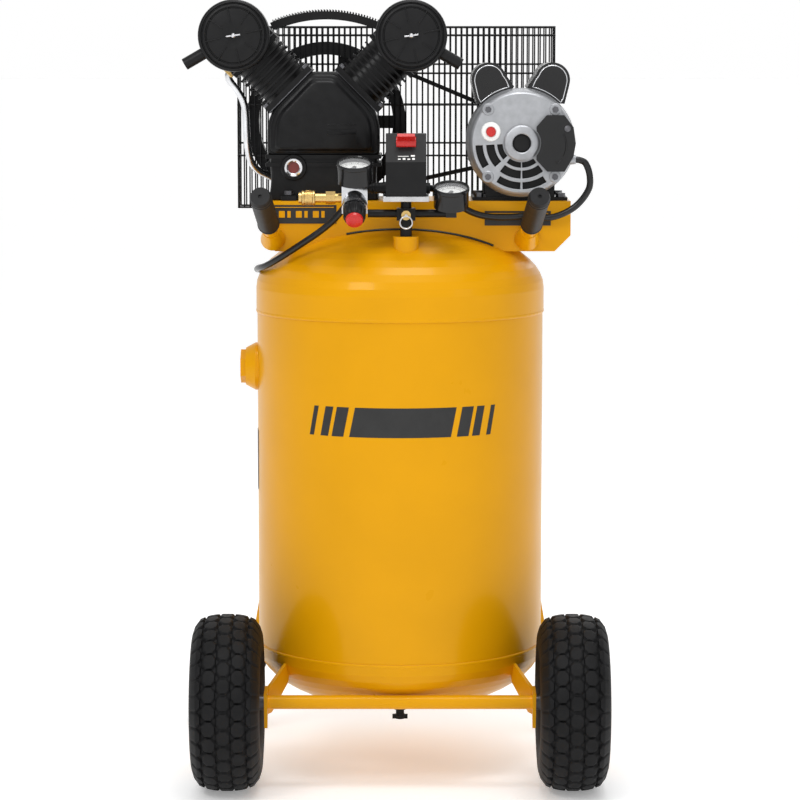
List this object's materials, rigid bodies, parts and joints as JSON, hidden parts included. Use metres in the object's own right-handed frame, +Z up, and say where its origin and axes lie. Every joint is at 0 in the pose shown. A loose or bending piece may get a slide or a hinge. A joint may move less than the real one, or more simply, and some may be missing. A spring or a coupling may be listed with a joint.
{
  "type": "air compressor",
  "caption": "Upright wheeled air compressor: vertical air tank, deck with belt-driven V-twin pump and electric motor, wire belt guard, switch, regulator, gauges and two handles.",
  "frame": {"origin": "on the floor, at the middle of the overall box measured without the free cord", "axes": "+Z up along the tank, +X to the right seen from the side with the wheels and handles, +Y away from that side"},
  "size_m": [0.659, 0.7061, 1.1771],
  "materials": {
    "yellow_paint": "glossy",
    "steel": "satin",
    "rubber": "matt",
    "tyre": "matt",
    "black_metal": "satin",
    "black_iron": "satin",
    "aluminium": "cast",
    "black_plastic": "matt",
    "red_plastic": "glossy",
    "gauge_case": "glossy",
    "brass": "machined",
    "cable": "satin"
  },
  "bodies": {
    "frame": {"tank_shell": "yellow_paint", "upper_head": "yellow_paint", "lower_head": "yellow_paint", "inspection_plug": "yellow_paint", "axle_tube": "yellow_paint", "axle_brackets": "yellow_paint", "rear_legs": "yellow_paint", "deck": "yellow_paint", "axle_rod": "steel", "fasteners": "steel", "sight_glass": "steel", "rubber_feet": "rubber", "grips": "rubber", "v_belt": "rubber", "guard_front": "black_metal", "guard_rear": "black_metal", "guard_sides": "black_metal", "motor_shell": "black_metal", "motor_cradle": "black_metal", "crankcase": "black_iron", "crankcase_cover": "black_iron", "cylinder_left": "black_iron", "cylinder_right": "black_iron", "head_left": "black_iron", "head_right": "black_iron", "manifold": "black_iron", "discharge_tube": "aluminium", "motor_end_bell": "aluminium", "regulator_body": "aluminium", "drain_body": "black_plastic", "filter_left": "black_plastic", "filter_right": "black_plastic", "capacitor_covers": "black_plastic", "terminal_cover": "black_plastic", "switch_body": "black_plastic", "regulated_gauge": "gauge_case", "tank_gauge": "gauge_case", "safety_valve": "brass", "coupler_body": "brass", "motor_lead": "cable", "power_cord": "cable", "cord_coil": "cable", "cord_plug": "cable"},
    "wheel_left": {"tyre_left": "tyre", "rim_left": "black_metal"},
    "wheel_right": {"tyre_right": "tyre", "rim_right": "black_metal"},
    "crank": {"crankshaft": "steel", "flywheel": "black_iron"},
    "rotor": {"motor_rotor": "steel", "motor_pulley": "black_iron"},
    "piston_left": {"piston_left": "aluminium"},
    "piston_right": {"piston_right": "aluminium"},
    "drain_cock": {"drain_knob": "black_plastic"},
    "power_lever": {"switch_lever": "red_plastic"},
    "safety_pull": {"pull_ring": "steel"},
    "pressure_knob": {"regulator_knob": "black_plastic"},
    "dial_regulated": {"needle_regulated": "red_plastic"},
    "dial_tank": {"needle_tank": "red_plastic"},
    "coupler_collar": {"coupler_sleeve": "brass"},
    "reset": {"reset_button": "red_plastic"}
  },
  "joints": [
    {"name": "wheel_left_spin", "type": "hinge", "parent": "frame", "child": "wheel_left", "pos_m": [-0.24904, -0.14875, 0.132], "axis": [1, 0, 0], "continuous": true},
    {"name": "wheel_right_spin", "type": "hinge", "parent": "frame", "child": "wheel_right", "pos_m": [0.26696, -0.14875, 0.132], "axis": [1, 0, 0], "continuous": true},
    {"name": "crank_spin", "type": "hinge", "parent": "frame", "child": "crank", "pos_m": [-0.10704, 0.05925, 0.99], "axis": [0, 1, 0], "continuous": true},
    {"name": "motor_spin", "type": "hinge", "parent": "frame", "child": "rotor", "pos_m": [0.19096, 0.05925, 0.963], "axis": [0, 1, 0], "continuous": true},
    {"name": "piston_left_travel", "type": "slide", "parent": "frame", "child": "piston_left", "axis": [-0.7071, 0, 0.7071], "range_m": [-0.044, 0]},
    {"name": "piston_right_travel", "type": "slide", "parent": "frame", "child": "piston_right", "axis": [0.7071, 0, 0.7071], "range_m": [-0.044, 0]},
    {"name": "drain_cock_turn", "type": "hinge", "parent": "frame", "child": "drain_cock", "pos_m": [0.00896, 0.05925, 0.0677], "axis": [0, 0, 1], "range_deg": [0, 360]},
    {"name": "power_lever_rock", "type": "hinge", "parent": "frame", "child": "power_lever", "pos_m": [0.01796, -0.09775, 0.965], "axis": [1, 0, 0], "range_deg": [-20, 20]},
    {"name": "safety_ring_pull", "type": "slide", "parent": "frame", "child": "safety_pull", "axis": [0, -1, 0], "range_m": [0, 0.004], "stiffness_N_per_m": 800},
    {"name": "pressure_knob_turn", "type": "hinge", "parent": "frame", "child": "pressure_knob", "pos_m": [-0.05804, -0.11275, 0.881], "axis": [0, -0.788, -0.6157], "range_deg": [-360, 720]},
    {"name": "needle_regulated_swing", "type": "hinge", "parent": "frame", "child": "dial_regulated", "pos_m": [-0.05804, -0.11675, 0.908], "axis": [0, -0.342, 0.9397], "range_deg": [-270, 0], "stiffness_Nm_per_rad": 0.005},
    {"name": "needle_tank_swing", "type": "hinge", "parent": "frame", "child": "dial_tank", "pos_m": [0.08496, -0.09875, 0.871], "axis": [0, -0.342, 0.9397], "range_deg": [-270, 0], "stiffness_Nm_per_rad": 0.005},
    {"name": "coupler_collar_slide", "type": "slide", "parent": "frame", "child": "coupler_collar", "axis": [1, 0, 0], "range_m": [0, 0.006], "stiffness_N_per_m": 600},
    {"name": "reset_button_press", "type": "slide", "parent": "frame", "child": "reset", "axis": [0, 1, 0], "range_m": [0, 0.002], "stiffness_N_per_m": 400}
  ],
  "couplings": [
    {"joint": "motor_spin", "follows": "crank_spin", "ratio": 4.0252}
  ]
}
